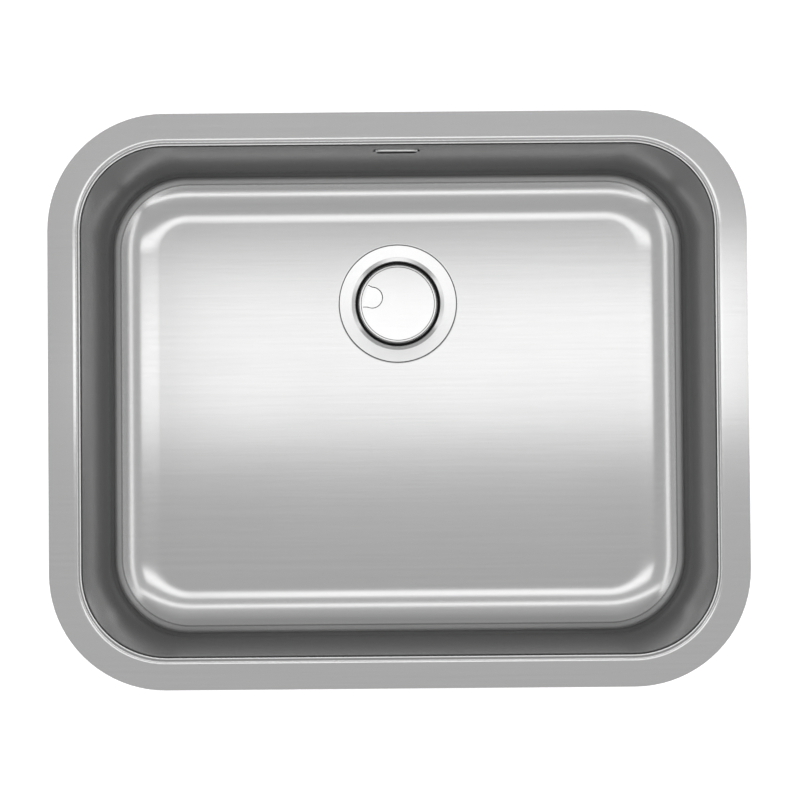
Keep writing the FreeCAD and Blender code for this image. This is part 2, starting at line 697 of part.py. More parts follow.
def overflow_seal():
    """Rubber gasket between the wall and the overflow housing."""
    margin = 2 * SEAL_INSET
    pad = stadium(HOUSING_LENGTH - 2 * margin, 2 * (HOUSING_TOP - margin), SHEET, HOUSING_FRONT)
    mouth = stadium(SLOT_LENGTH + SEAL_INSET, SLOT_OPENING + SEAL_INSET, 0, 2 * HOUSING_FRONT)
    return at_wall(pad.cut(mouth))


def housing_block(inset, front, corner):
    """The overflow housing's outline, inset by a margin, with its back edges rounded."""
    length = HOUSING_LENGTH - 2 * inset
    depth = HOUSING_BACK - inset - front
    tall = HOUSING_TOP + HOUSING_FOOT - 2 * inset
    block = Part.makeBox(length, depth, tall, Vector(-length / 2, front, -HOUSING_FOOT + inset))
    rounded = []
    for edge in block.Edges:
        box = edge.BoundBox
        on_back = box.YMin > front + depth / 2
        along_y = box.YLength > depth / 2
        if on_back or along_y:
            rounded.append(edge)
    return block.makeFillet(corner, rounded)


def overflow_housing():
    """Moulded box behind the slot, with a threaded union pointing down."""
    axis = Vector(0, UNION_AXIS_Y, 0)
    union_foot = axis - Vector(0, 0, HOUSING_FOOT + UNION_LENGTH)
    union_top = axis - Vector(0, 0, HOUSING_FOOT)
    outer = housing_block(0, HOUSING_FRONT, HOUSING_ROUND)
    union = Part.makeCylinder(UNION_RADIUS, UNION_LENGTH + HOUSING_WALL, union_foot)
    collar_foot = union_top - Vector(0, 0, UNION_COLLAR)
    union = union.fuse(Part.makeCone(UNION_RADIUS, UNION_RADIUS + UNION_COLLAR, UNION_COLLAR, collar_foot))
    union_stays = Part.makeBox(HOUSING_LENGTH, HOUSING_BACK - HOUSING_FRONT, 4 * UNION_LENGTH)
    union_stays.translate(Vector(-HOUSING_LENGTH / 2, HOUSING_FRONT, union_foot.z))
    room = housing_block(HOUSING_WALL, HOUSING_FRONT + MOUTH_LEDGE, HOUSING_ROUND - HOUSING_WALL)
    mouth = stadium(SLOT_LENGTH, SLOT_OPENING, 0, 2 * HOUSING_FRONT)
    bore = Part.makeCylinder(INLET_BORE, UNION_LENGTH + 2 * HOUSING_WALL, union_foot)
    socket = Part.makeCylinder(UNION_BORE, UNION_LENGTH - SOCKET_STOP, union_foot)
    return at_wall(outer.fuse(union.common(union_stays)).cut([room, mouth, bore, socket]))


# ---------------------------------------------------------------- overflow hose
def hose_corner():
    """The corner that the hose's two straight runs would meet at, and the runs' directions."""
    down = WALL_FRAME.Rotation.multVec(-Z_AXIS)
    start = WALL_FRAME.multVec(Vector(0, UNION_AXIS_Y, -HOUSING_FOOT - SOCKET_STOP - HOSE_END_GAP))
    inner_end = INLET_REACH - UNION_LENGTH + SOCKET_STOP + HOSE_END_GAP
    end = WASTE_CENTRE + Vector(0, inner_end, -INLET_DROP)
    corner = start + down * ((end.z - start.z) / down.z)
    return start, corner, end


def hose_route():
    """The hose's centre line: a run down behind the wall, a bend and a run forward to the waste."""
    start, corner, end = hose_corner()
    down, forward = (corner - start).normalize(), (end - corner).normalize()
    turn = down.getAngle(forward)
    reach = HOSE_BEND * math.tan(turn / 2)
    bend_start, bend_end = corner + down * -reach, corner + forward * reach
    inward = (forward - down).normalize()
    bend_middle = corner + inward * (HOSE_BEND / math.cos(turn / 2) - HOSE_BEND)
    return Part.Wire(
        [
            Part.LineSegment(start, bend_start).toShape(),
            Part.Arc(bend_start, bend_middle, bend_end).toShape(),
            Part.LineSegment(bend_end, end).toShape(),
        ]
    )


def hose_ring(route, distance, radius):
    """A circle square to the route, at a distance from its start."""
    for edge in route.Edges:
        if distance <= edge.Length + FIT_TOLERANCE:
            at = edge.getParameterByLength(min(distance, edge.Length))
            ring = Part.Wire(Part.makeCircle(radius))
            ring.Placement = Placement(edge.valueAt(at), Rotation(Z_AXIS, edge.tangentAt(at)))
            return ring
        distance -= edge.Length


def overflow_hose():
    """Ribbed plastic hose with plain cuffs: four rings to a rib, joined by straight-sided bands."""
    route = hose_route()
    ribs = int((route.Length - 2 * HOSE_CUFF) / RIB_PITCH)
    cuff = (route.Length - ribs * RIB_PITCH) / 2
    rings = [hose_ring(route, 0, HOSE_CUFF_RADIUS), hose_ring(route, cuff, HOSE_CUFF_RADIUS)]
    for i in range(ribs):
        for share, radius in RIB_PROFILE:
            rings.append(hose_ring(route, cuff + (i + share) * RIB_PITCH, radius))
    rings.append(hose_ring(route, route.Length - cuff + RIB_PITCH / 4, HOSE_CUFF_RADIUS))
    rings.append(hose_ring(route, route.Length, HOSE_CUFF_RADIUS))
    skin = Part.makeLoft(rings, True, True)
    return skin.cut(route.makePipeShell([hose_ring(route, 0, HOSE_BORE)], True, False))


def union_nut():
    """Union nut about Z: it opens towards +Z over the thread and closes on the hose at its foot."""
    thread = UNION_RADIUS + RUNNING_GAP
    mouth = HOSE_CREST_RADIUS + RUNNING_GAP
    nut = turned(
        [
            (mouth, 0),
            (NUT_RADIUS - MOULD_ROUND, 0, MOULD_ROUND),
            (NUT_RADIUS, NUT_FLOOR, MOULD_ROUND),
            (NUT_RADIUS, NUT_LENGTH, MOULD_ROUND),
            (thread, NUT_LENGTH),
            (thread, NUT_FLOOR),
            (mouth, NUT_FLOOR),
        ]
    )
    grip = Part.makeCylinder(GRIP_RADIUS, NUT_LENGTH, Vector(NUT_RADIUS + GRIP_RADIUS / 2, 0, NUT_FLOOR))
    return nut.cut(around(grip, NUT_GRIPS))


def union_washer():
    """Rubber washer between the union's end face and the nut, about the hose's cuff."""
    return tube(UNION_RADIUS, HOSE_CUFF_RADIUS, 0, WASHER_THICKNESS)


def at_union(shape, union, drop):
    """Puts a union's piece on its thread, its foot a distance beyond the union's end face."""
    shape.Placement = union.multiply(Placement(Vector(0, 0, -drop), Rotation()))
    return shape


def hose_nut_upper():
    return at_union(union_nut(), UPPER_UNION, WASHER_THICKNESS + NUT_FLOOR)


def hose_nut_lower():
    return at_union(union_nut(), LOWER_UNION, WASHER_THICKNESS + NUT_FLOOR)


def hose_washer_upper():
    return at_union(union_washer(), UPPER_UNION, WASHER_THICKNESS)


def hose_washer_lower():
    return at_union(union_washer(), LOWER_UNION, WASHER_THICKNESS)


# ---------------------------------------------------------------- export
PIECES = (
    sink_bowl,
    sound_pad,
    strainer_dish,
    dish_seal,
    waste_seal,
    waste_body,
    screw_insert,
    waste_screw,
    basket_cup,
    basket_rim_seal,
    basket_stem,
    basket_plug,
    lid_disc,
    lid_carrier,
    overflow_trim,
    overflow_seal,
    overflow_housing,
    overflow_hose,
    hose_nut_upper,
    hose_nut_lower,
    hose_washer_upper,
    hose_washer_lower,
)


def main():
    os.makedirs("parts", exist_ok=True)
    for make in PIECES:
        shape = make()
        shape.exportStep(os.path.join("parts", make.__name__ + ".step"))
        print(make.__name__, "solids", len(shape.Solids), "volume", round(shape.Volume))


main()
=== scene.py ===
import json
import math

import bmesh
import bpy
from mathutils import Matrix, Vector


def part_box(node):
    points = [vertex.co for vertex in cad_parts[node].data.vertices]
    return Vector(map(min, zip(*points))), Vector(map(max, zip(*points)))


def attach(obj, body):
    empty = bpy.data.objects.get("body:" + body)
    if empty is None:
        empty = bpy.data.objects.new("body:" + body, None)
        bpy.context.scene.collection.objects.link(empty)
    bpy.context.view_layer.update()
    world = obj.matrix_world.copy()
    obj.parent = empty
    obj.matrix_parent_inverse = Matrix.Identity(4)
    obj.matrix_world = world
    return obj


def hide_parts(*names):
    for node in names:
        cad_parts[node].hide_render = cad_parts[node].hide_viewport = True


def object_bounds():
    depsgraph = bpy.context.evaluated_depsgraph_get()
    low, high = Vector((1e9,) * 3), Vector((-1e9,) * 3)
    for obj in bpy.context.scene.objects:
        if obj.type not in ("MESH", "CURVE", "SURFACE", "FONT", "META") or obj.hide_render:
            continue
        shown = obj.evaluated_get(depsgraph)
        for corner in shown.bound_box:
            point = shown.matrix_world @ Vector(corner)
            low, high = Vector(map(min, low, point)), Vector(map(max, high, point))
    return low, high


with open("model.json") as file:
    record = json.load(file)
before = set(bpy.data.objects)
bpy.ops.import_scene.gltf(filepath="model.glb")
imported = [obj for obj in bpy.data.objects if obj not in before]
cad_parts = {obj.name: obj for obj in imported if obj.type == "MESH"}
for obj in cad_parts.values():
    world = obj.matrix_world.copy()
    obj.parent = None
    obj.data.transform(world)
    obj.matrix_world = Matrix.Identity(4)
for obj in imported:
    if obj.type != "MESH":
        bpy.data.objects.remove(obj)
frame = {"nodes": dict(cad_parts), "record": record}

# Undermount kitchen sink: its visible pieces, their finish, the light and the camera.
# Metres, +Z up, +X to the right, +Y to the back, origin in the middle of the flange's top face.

cad_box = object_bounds()
NODES = frame["nodes"]
SLOT_OF = {part["node"]: part["material_slot"] for part in frame["record"]["subparts"]}
BODY_OF = {node: body for body, nodes in frame["record"]["behaviour"]["bodies"].items() for node in nodes}

# ---------------------------------------------------------------- sizes of the bowl
CORNER_STEPS = 20
SIDE_CUTS = 11
LIP_STEPS = 10
COVE_STEPS = 12
FLOOR_CUTS = 14
SLOT_END_STEPS = 14
HOLD = 0.0008  # narrow loop that keeps a flat flat beside a rounding
TINY = 1e-5

SHEET = 0.001
FLANGE_CORNER = 0.1015
RIM_BAND = 0.029
LIP_RADIUS = 0.007
WALL_DRAFT = math.radians(1.8)
COVE_BAND_RUN = 0.0249
COVE_BAND_RISE = 0.0124
COVE_UPPER_RADIUS = 0.005
COVE_LOWER_RADIUS = 0.070
DEPTH = 0.185
FLOOR_DISH_RADIUS = 25.0
WASTE_BACK = 0.096
SEAT_RADIUS = 0.0564
SEAT_DEPTH = 0.0022
SEAT_EDGE = 0.0007
WASTE_HOLE_RADIUS = 0.045
OVERFLOW_DROP = 0.032
SLOT_LENGTH = 0.0385
SLOT_OPENING = 0.0105
SLOT_END_ROUNDING = 0.4999 * SLOT_OPENING

bowl_low, bowl_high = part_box("sink_bowl")
FLANGE_LENGTH = bowl_high.x - bowl_low.x
FLANGE_WIDTH = bowl_high.y - bowl_low.y
WASTE_AXIS = Vector((0, WASTE_BACK, -DEPTH))
WALL_LINE = FLANGE_WIDTH / 2 - RIM_BAND
DISH_REACH = 0.45  # how far the push that dishes the floor reaches
DISH_DEPTH = DISH_REACH**2 / (2 * FLOOR_DISH_RADIUS)

# The profile from flange to floor: lip arc, wall, tight bend, straight band, wide arc
STEEP = math.pi / 2 - WALL_DRAFT
BAND_SLOPE = math.atan2(COVE_BAND_RISE, COVE_BAND_RUN)
BAND = (
    math.hypot(COVE_BAND_RISE, COVE_BAND_RUN)
    - COVE_UPPER_RADIUS * math.tan((STEEP - BAND_SLOPE) / 2)
    - COVE_LOWER_RADIUS * math.tan(BAND_SLOPE / 2)
)
COVE_DEPTH = (
    COVE_UPPER_RADIUS * (math.cos(BAND_SLOPE) - math.cos(STEEP))
    + BAND * math.sin(BAND_SLOPE)
    + COVE_LOWER_RADIUS * (1 - math.cos(BAND_SLOPE))
)
COVE_TOP = DEPTH - DISH_DEPTH - COVE_DEPTH
FLANGE_FLAT = RIM_BAND - LIP_RADIUS * math.tan(STEEP / 2)
LIP_FOOT = LIP_RADIUS * (1 - math.cos(STEEP))

SEAT_HOLD_RADIUS = SEAT_RADIUS + SEAT_EDGE + HOLD
SEAT_RINGS = (  # radius and drop of each ring of the waste's seat
    (SEAT_RADIUS + SEAT_EDGE, 0),
    (SEAT_RADIUS + SEAT_EDGE * 0.3, SEAT_EDGE * 0.3),
    (SEAT_RADIUS, SEAT_EDGE),
    (SEAT_RADIUS, SEAT_DEPTH),
    (WASTE_HOLE_RADIUS, SEAT_DEPTH),
)

# ---------------------------------------------------------------- sizes of the strainer
# Heights are from the bowl's floor at the waste.
RING_RADIUS = 0.0560
RING_EDGE_FALL = -0.00005
FLANGE_FALL = -0.0005
FUNNEL_RADIUS = 0.0446
FUNNEL_UNDER_RADIUS = 0.0443
FUNNEL_STEP = -0.0018
FUNNEL_STEP_RADIUS = 0.0411
FUNNEL_FOOT = -0.0039
THROAT_RADIUS = 0.0394
WELL_FLOOR = -0.033
OUTLET_RADIUS = 0.019
OUTLET_FOOT = -0.040
HUB_BORE = 0.00325
HUB_RADIUS = 0.008
SPOKES = 3
SPOKE_WIDTH = 0.005
SPOKE_ROOT = 0.007
RIM_LEVEL = -0.0048
LID_TOP = -0.0003
LID_RADIUS = 0.0375
LID_SHEET = 0.0008
LID_STEP = 0.0005
LID_STEP_RADIUS = 0.0350
LID_STEP_FOOT = 0.0356
LID_UNDER_FOOT = 0.0349
LID_CENTRE = 0.010
TONGUE_RADIUS = 0.0097
TONGUE_REACH = 0.0255
TONGUE_ROOT = 0.0338
TONGUE_BEARING = math.radians(166.3)
TONGUE_FLARE = math.radians(14)
TONGUE_HALF = math.radians(18)
TONGUE_SLIT = 0.0008
TONGUE_BEND = math.radians(7)
TONGUE_STEPS = 96
TONGUE_WAY = Vector((math.cos(TONGUE_BEARING), math.sin(TONGUE_BEARING), 0))
TONGUE_ACROSS = TONGUE_WAY.cross(Vector((0, 0, 1)))

TURN_SEGMENTS = 128
ROUNDING_STEPS = 6
SMOOTH_ANGLE = math.radians(32)
BOWL_SMOOTH_ANGLE = math.radians(40)
FLAT_ANGLE = math.radians(0.4)


# ---------------------------------------------------------------- modelling helpers
def deselect_all():
    for shown in bpy.context.selected_objects:
        shown.select_set(False)


def begin_piece(name):
    """A new empty mesh at the origin, open in edit mode."""
    deselect_all()
    piece = bpy.data.objects.new(name, bpy.data.meshes.new(name))
    bpy.context.scene.collection.objects.link(piece)
    piece.select_set(True)
    bpy.context.view_layer.objects.active = piece
    bpy.ops.object.mode_set(mode="EDIT")
    return piece


def select_where(test, mode="VERT"):
    """Selects the corners of the mesh in edit mode that pass a test of their place."""
    bpy.ops.mesh.select_mode(type="VERT")
    mesh = bmesh.from_edit_mesh(bpy.context.object.data)
    for corner in mesh.verts:
        corner.select_set(bool(test(corner.co)))
    mesh.select_flush_mode()
    bmesh.update_edit_mesh(bpy.context.object.data)
    bpy.ops.mesh.select_mode(type=mode)


def end_piece(piece, smooth=SMOOTH_ANGLE):
    """Closes the mesh, points its faces outwards and smooths it between its sharp edges."""
    bpy.ops.object.mode_set(mode="EDIT")
    bpy.ops.mesh.select_all(action="SELECT")
    bpy.ops.mesh.remove_doubles(threshold=TINY / 10)
    bpy.ops.mesh.normals_make_consistent(inside=False)
    bpy.ops.object.mode_set(mode="OBJECT")
    bpy.ops.object.shade_smooth_by_angle(angle=smooth)
    take_modifier(piece, "WEIGHTED_NORMAL", weight=100, keep_sharp=True)
    return piece


def take_modifier(piece, kind, **settings):
    """Adds a modifier with its settings and applies it."""
    modifier = piece.modifiers.new(kind.lower(), kind)
    for key, value in settings.items():
        setattr(modifier, key, value)
    deselect_all()
    piece.select_set(True)
    bpy.context.view_layer.objects.active = piece
    bpy.ops.object.modifier_apply(modifier=modifier.name)


def profile_points(corners):
    """Points along a profile of (radius, height) or (radius, height, rounding) corners."""
    places = [Vector((corner[0], corner[1])) for corner in corners]
    points = []
    for i, corner in enumerate(corners):
        here = places[i]
        if len(corner) == 2:
            points.append(here)
            continue
        back = (places[i - 1] - here).normalized()
        ahead = (places[(i + 1) % len(places)] - here).normalized()
        half = back.angle(ahead) / 2
        centre = here + (back + ahead).normalized() * (corner[2] / math.sin(half))
        start = here + back * (corner[2] / math.tan(half)) - centre
        end = here + ahead * (corner[2] / math.tan(half)) - centre
        for step in range(ROUNDING_STEPS + 1):
            points.append(centre + start.slerp(end, step / ROUNDING_STEPS).normalized() * corner[2])
    return points


def turned(name, corners, capped=False):
    """A piece turned on the waste's axis: a circle extruded and resized along its profile.

    The profile closes on itself, or its first and last circles are filled, as in a disc.
    """
    points = profile_points(corners)
    if not capped:
        points.append(points[0])
    piece = begin_piece(name)
    bpy.ops.mesh.primitive_circle_add(
        vertices=TURN_SEGMENTS,
        radius=points[0].x,
        fill_type="NGON" if capped else "NOTHING",
        location=(WASTE_AXIS.x, WASTE_AXIS.y, WASTE_AXIS.z + points[0].y),
    )
    bpy.ops.mesh.select_mode(type="EDGE")
    for last, here in zip(points, points[1:]):
        ratio = here.x / last.x
        bpy.ops.mesh.extrude_edges_move()
        bpy.ops.transform.resize(value=(ratio, ratio, 1), center_override=WASTE_AXIS)
        bpy.ops.transform.translate(value=(0, 0, here.y - last.y))
    if capped:
        bpy.ops.mesh.edge_face_add()
    return end_piece(piece)


def joined(piece, *others):
    """One object of several meshes."""
    deselect_all()
    for part in (piece, *others):
        part.select_set(True)
    bpy.context.view_layer.objects.active = piece
    bpy.ops.object.join()
    return piece


def polished_copy(node):
    """A piece with a node's own form, its facets joined so that its curves shade smoothly."""
    deselect_all()
    piece = bpy.data.objects.new("fine_" + node, NODES[node].data.copy())
    bpy.context.scene.collection.objects.link(piece)
    piece.select_set(True)
    bpy.context.view_layer.objects.active = piece
    if piece.data.has_custom_normals:
        bpy.ops.mesh.customdata_custom_splitnormals_clear()
    bpy.ops.object.mode_set(mode="EDIT")
    bpy.ops.mesh.select_all(action="SELECT")
    bpy.ops.mesh.remove_doubles(threshold=TINY / 10)
    bpy.ops.mesh.dissolve_limited(angle_limit=FLAT_ANGLE)
    return end_piece(piece)


# ---------------------------------------------------------------- bowl
def press(inward, down):
    """One step of the press: the face in hand is inset and pushed down."""
    bpy.ops.mesh.inset(thickness=inward, depth=-down)


def press_arc(steps, radius, start, end):
    """Presses an arc of the profile, whose slope turns from one angle to another."""
    last = start
    for step in range(steps):
        slope = start + (end - start) * (step + 1) / steps
        inward = radius * abs(math.sin(slope) - math.sin(last))
        press(inward, radius * abs(math.cos(slope) - math.cos(last)))
        last = slope


def press_wall(length, width, down):
    """Presses the drafted wall, whose corners keep their radius on the way down."""
    inward = 2 * down * math.tan(WALL_DRAFT)
    bpy.ops.mesh.extrude_region_move(TRANSFORM_OT_translate={"value": (0, 0, -down)})
    shrink = (1 - inward / length, 1 - inward / width, 1)
    bpy.ops.transform.resize(value=shrink, center_override=(0, 0, 0))
    return length - inward, width - inward


def wall_place():
    """The frame of the back wall's inner face at the overflow: Y up the wall, Z to the front."""
    foot = Vector((0, WALL_LINE - OVERFLOW_DROP * math.tan(WALL_DRAFT), -OVERFLOW_DROP))
    return Matrix.Translation(foot) @ Matrix.Rotation(math.radians(90) - WALL_DRAFT, 4, "X")


def slot_cutter():
    """A bar with round ends that stands through the back wall at the overflow."""
    cutter = begin_piece("slot_cutter")
    bpy.ops.mesh.primitive_plane_add(size=1, location=(0, 0, LIP_RADIUS))
    bpy.ops.transform.resize(value=(SLOT_LENGTH, SLOT_OPENING, 1))
    bpy.ops.mesh.bevel(offset=SLOT_END_ROUNDING, segments=SLOT_END_STEPS, affect="VERTICES")
    select_where(lambda corner: True, "FACE")
    bpy.ops.mesh.extrude_region_move(TRANSFORM_OT_translate={"value": (0, 0, -2 * LIP_RADIUS)})
    bpy.ops.object.mode_set(mode="OBJECT")
    cutter.data.transform(wall_place())
    return end_piece(cutter)


def press_flange():
    """The sheet's outline with its round corners, then the flat flange and the lip."""
    bpy.ops.mesh.primitive_plane_add(size=1)
    bpy.ops.transform.resize(value=(FLANGE_LENGTH, FLANGE_WIDTH, 1))
    bpy.ops.mesh.bevel(offset=FLANGE_CORNER, segments=CORNER_STEPS, affect="VERTICES")
    bpy.ops.mesh.select_mode(type="EDGE")
    mesh = bmesh.from_edit_mesh(bpy.context.object.data)
    for edge in mesh.edges:
        edge.select_set(edge.calc_length() > FLANGE_CORNER)
    bpy.ops.mesh.subdivide(number_cuts=SIDE_CUTS)
    select_where(lambda corner: True, "FACE")
    for inward in (HOLD, FLANGE_FLAT - 2 * HOLD, HOLD):
        press(inward, 0)
    press_arc(LIP_STEPS, LIP_RADIUS, 0, STEEP)


def press_walls():
    """The drafted walls, and the cove down to the floor."""
    length = FLANGE_LENGTH - 2 * (FLANGE_FLAT + LIP_RADIUS * math.sin(STEEP))
    width = length + FLANGE_WIDTH - FLANGE_LENGTH
    for down in (HOLD, COVE_TOP - LIP_FOOT - 2 * HOLD, HOLD):
        length, width = press_wall(length, width, down)
    press_arc(COVE_STEPS, COVE_UPPER_RADIUS, STEEP, BAND_SLOPE)
    press(BAND * math.cos(BAND_SLOPE), BAND * math.sin(BAND_SLOPE))
    press_arc(COVE_STEPS, COVE_LOWER_RADIUS, BAND_SLOPE, 0)


def lay_floor():
    """Turns the flat bottom into rows of faces between the cove and a circle round the waste."""
    bpy.ops.mesh.delete(type="ONLY_FACE")
    level = DISH_DEPTH - DEPTH
    rim_count = 4 * (CORNER_STEPS + 1 + SIDE_CUTS)
    bpy.ops.mesh.primitive_circle_add(
        vertices=rim_count, radius=SEAT_HOLD_RADIUS, location=(0, 0, level - COVE_LOWER_RADIUS)
    )
    select_where(lambda corner: corner.z < level + TINY, "EDGE")
    bpy.ops.mesh.bridge_edge_loops()
    select_where(lambda corner: corner.z < level - TINY, "EDGE")
    bpy.ops.transform.translate(value=(0, WASTE_BACK, COVE_LOWER_RADIUS))
    centre = Vector((0, WASTE_BACK, level))
    mesh = bmesh.from_edit_mesh(bpy.context.object.data)
    for edge in mesh.edges:
        ends = [(corner.co - centre).length < SEAT_HOLD_RADIUS + TINY for corner in edge.verts]
        low = all(corner.co.z < level + TINY for corner in edge.verts)
        edge.select_set(low and ends[0] != ends[1])
    bmesh.update_edit_mesh(bpy.context.object.data)
    bpy.ops.mesh.subdivide(number_cuts=FLOOR_CUTS, quadcorner="STRAIGHT_CUT")


def dish_floor():
    """Pushes a small triangle down at the waste, so that floor and cove follow in a wide dish."""
    select_where(lambda corner: corner.z > -COVE_TOP + TINY)
    bpy.ops.mesh.hide()
    centre = (0, WASTE_BACK, DISH_DEPTH - DEPTH)
    bpy.ops.mesh.primitive_circle_add(vertices=3, radius=TINY, location=centre)
    bpy.ops.transform.translate(
        value=(0, 0, -DISH_DEPTH),
        use_proportional_edit=True,
        proportional_edit_falloff="INVERSE_SQUARE",
        proportional_size=DISH_REACH,
    )
    bpy.ops.mesh.delete(type="VERT")
    bpy.ops.mesh.reveal(select=False)


def press_seat():
    """The seat that takes the waste's ring flush, and the hole in it."""
    last_radius, last_drop = SEAT_HOLD_RADIUS, 0
    select_where(lambda corner: (corner - WASTE_AXIS).length < SEAT_HOLD_RADIUS + HOLD / 4, "EDGE")
    for radius, drop in SEAT_RINGS:
        ratio = radius / last_radius
        bpy.ops.mesh.extrude_edges_move()
        bpy.ops.transform.resize(value=(ratio, ratio, 1), center_override=WASTE_AXIS)
        bpy.ops.transform.translate(value=(0, 0, last_drop - drop))
        last_radius, last_drop = radius, drop


def drawn_bowl():
    """The bowl in one sheet: an outline pressed down step by step along flange, lip, wall and cove."""
    piece = begin_piece("drawn_bowl")
    press_flange()
    press_walls()
    lay_floor()
    dish_floor()
    press_seat()
    bpy.ops.object.mode_set(mode="OBJECT")
    take_modifier(piece, "SOLIDIFY", thickness=SHEET, offset=-1, use_even_offset=True)
    cutter = slot_cutter()
    take_modifier(piece, "BOOLEAN", object=cutter, operation="DIFFERENCE", solver="EXACT")
    bpy.data.objects.remove(cutter)
    return end_piece(piece, BOWL_SMOOTH_ANGLE)


# ---------------------------------------------------------------- strainer
def strainer_dish():
    """Flange that falls a little to the middle, two-step funnel, well, and the spider in its outlet."""
    dish = turned(
        "turned_dish",
        [
            (RING_RADIUS, RING_EDGE_FALL),
            (FUNNEL_RADIUS, FLANGE_FALL, 0.0008),
            (FUNNEL_STEP_RADIUS, FUNNEL_STEP, 0.0007),
            (THROAT_RADIUS, FUNNEL_FOOT, 0.001),
            (THROAT_RADIUS, WELL_FLOOR, 0.005),
            (OUTLET_RADIUS, WELL_FLOOR, 0.0015),
            (OUTLET_RADIUS, OUTLET_FOOT),
            (OUTLET_RADIUS + SHEET, OUTLET_FOOT),
            (OUTLET_RADIUS + SHEET, WELL_FLOOR - SHEET, 0.0004),
            (THROAT_RADIUS + SHEET, WELL_FLOOR - SHEET, 0.006),
            (THROAT_RADIUS + SHEET, FUNNEL_FOOT - SHEET / 2, 0.001),
            (FUNNEL_UNDER_RADIUS, -SHEET, 0.0008),
            (RING_RADIUS, -SHEET),
        ],
    )
    hub_top = OUTLET_FOOT + SHEET
    hub = turned(
        "hub",
        [(HUB_BORE, OUTLET_FOOT), (HUB_RADIUS, OUTLET_FOOT), (HUB_RADIUS, hub_top), (HUB_BORE, hub_top)],
    )
    spokes = begin_piece("spokes")
    middle = WASTE_AXIS + Vector(((SPOKE_ROOT + OUTLET_RADIUS) / 2, 0, OUTLET_FOOT + SHEET / 2))
    for spoke in range(SPOKES):
        bpy.ops.mesh.select_all(action="DESELECT")
        bpy.ops.mesh.primitive_cube_add(size=1, location=middle)
        bpy.ops.transform.resize(value=(OUTLET_RADIUS - SPOKE_ROOT, SPOKE_WIDTH, SHEET))
        turn = math.pi / 2 + spoke * math.tau / SPOKES
        bpy.ops.transform.rotate(value=-turn, orient_axis="Z", center_override=WASTE_AXIS)
        bpy.ops.mesh.bevel(offset=SHEET / 5, segments=2, affect="EDGES")
    return joined(dish, hub, end_piece(spokes))


def tongue_plate(name, margin, low, high):
    """A plate of the finger tongue's outline: a round end, and two sides that run out to its root."""
    centre = WASTE_AXIS + TONGUE_WAY * TONGUE_REACH
    plate = begin_piece(name)
    radius = TONGUE_RADIUS + margin
    bpy.ops.mesh.primitive_circle_add(vertices=TONGUE_STEPS, radius=radius, location=centre)
    select_where(lambda corner: (corner - centre).dot(TONGUE_WAY) > radius * math.sin(TONGUE_FLARE))
    bpy.ops.mesh.delete(type="VERT")
    for side in (1, -1):
        mesh = bmesh.from_edit_mesh(plate.data)
        ends = [corner.co.copy() for corner in mesh.verts if len(corner.link_edges) == 1]
        start = max(ends, key=lambda end: side * (end - centre).dot(TONGUE_ACROSS))
        run = TONGUE_WAY * math.cos(TONGUE_FLARE) + TONGUE_ACROSS * side * math.sin(TONGUE_FLARE)
        out = start - WASTE_AXIS
        travel = math.sqrt(out.dot(run) ** 2 - out.length_squared + TONGUE_ROOT**2) - out.dot(run)
        select_where(lambda corner: (corner - start).length < TINY)
        bpy.ops.mesh.extrude_vertices_move(TRANSFORM_OT_translate={"value": run * travel})
    bpy.ops.mesh.select_all(action="SELECT")
    bpy.ops.mesh.edge_face_add()
    bpy.ops.transform.translate(value=(0, 0, low))
    bpy.ops.mesh.extrude_region_move(TRANSFORM_OT_translate={"value": (0, 0, high - low)})
    return end_piece(plate)


def strainer_lid():
    """The lid: flat top, a fine step and a narrow shoulder round its edge, and the bent finger tongue."""
    under = LID_TOP - LID_SHEET
    lid = turned(
        "pressed_lid",
        [
            (LID_CENTRE, under),
            (LID_STEP_RADIUS - LID_SHEET, under, 0.0004),
            (LID_UNDER_FOOT, under - LID_STEP, 0.0004),
            (LID_RADIUS - LID_SHEET, under - LID_STEP, 0.0006),
            (LID_RADIUS - LID_SHEET, RIM_LEVEL),
            (LID_RADIUS, RIM_LEVEL),
            (LID_RADIUS, LID_TOP - LID_STEP, 0.0009),
            (LID_STEP_FOOT, LID_TOP - LID_STEP, 0.0002),
            (LID_STEP_RADIUS, LID_TOP, 0.0003),
            (LID_CENTRE, LID_TOP),
        ],
        capped=True,
    )
    cutter = tongue_plate("tongue_cutter", TONGUE_SLIT, LID_TOP - 2 * LID_SHEET, LID_TOP + LID_SHEET)
    take_modifier(lid, "BOOLEAN", object=cutter, operation="DIFFERENCE", solver="EXACT")
    bpy.data.objects.remove(cutter)
    tongue = tongue_plate("tongue", 0, under, LID_TOP)
    root = WASTE_AXIS + TONGUE_WAY * TONGUE_ROOT * math.cos(TONGUE_HALF) + Vector((0, 0, LID_TOP))
    turn = Matrix.Rotation(TONGUE_BEND, 4, TONGUE_ACROSS)
    bent = Matrix.Translation(root) @ turn @ Matrix.Translation(-root)
    tongue.data.transform(bent)
    return end_piece(joined(lid, tongue))


# ---------------------------------------------------------------- finish
NOISE_LOW = 0.3  # the middle band of a noise, which is spread over a range of values
NOISE_HIGH = 0.7
GRAZING_TINT = 0.61  # how much of its shine the steel keeps at a glance
STEEL_RELIEF = 0.0002
MOULDED_RELIEF = 0.0003
MOULDED_GLOSS_CHANGE = 0.06

# The drawn sheet is duller at its bends. Its colour carries painted shade, darker deep down, and painted
# reflection lines just below the tight bend.
# Each band is a height as it was before the floor was dished, and the distances from it with full effect
# and with none.
DEEP_LEVEL = -0.9 * DEPTH
SHALLOW_LEVEL = -0.1 * DEPTH
TIGHT_BEND = (-0.1677, 0.0015, 0.006)
TIGHT_BEND_ROUGHNESS = 0.36
TIGHT_BEND_METAL = 0.6
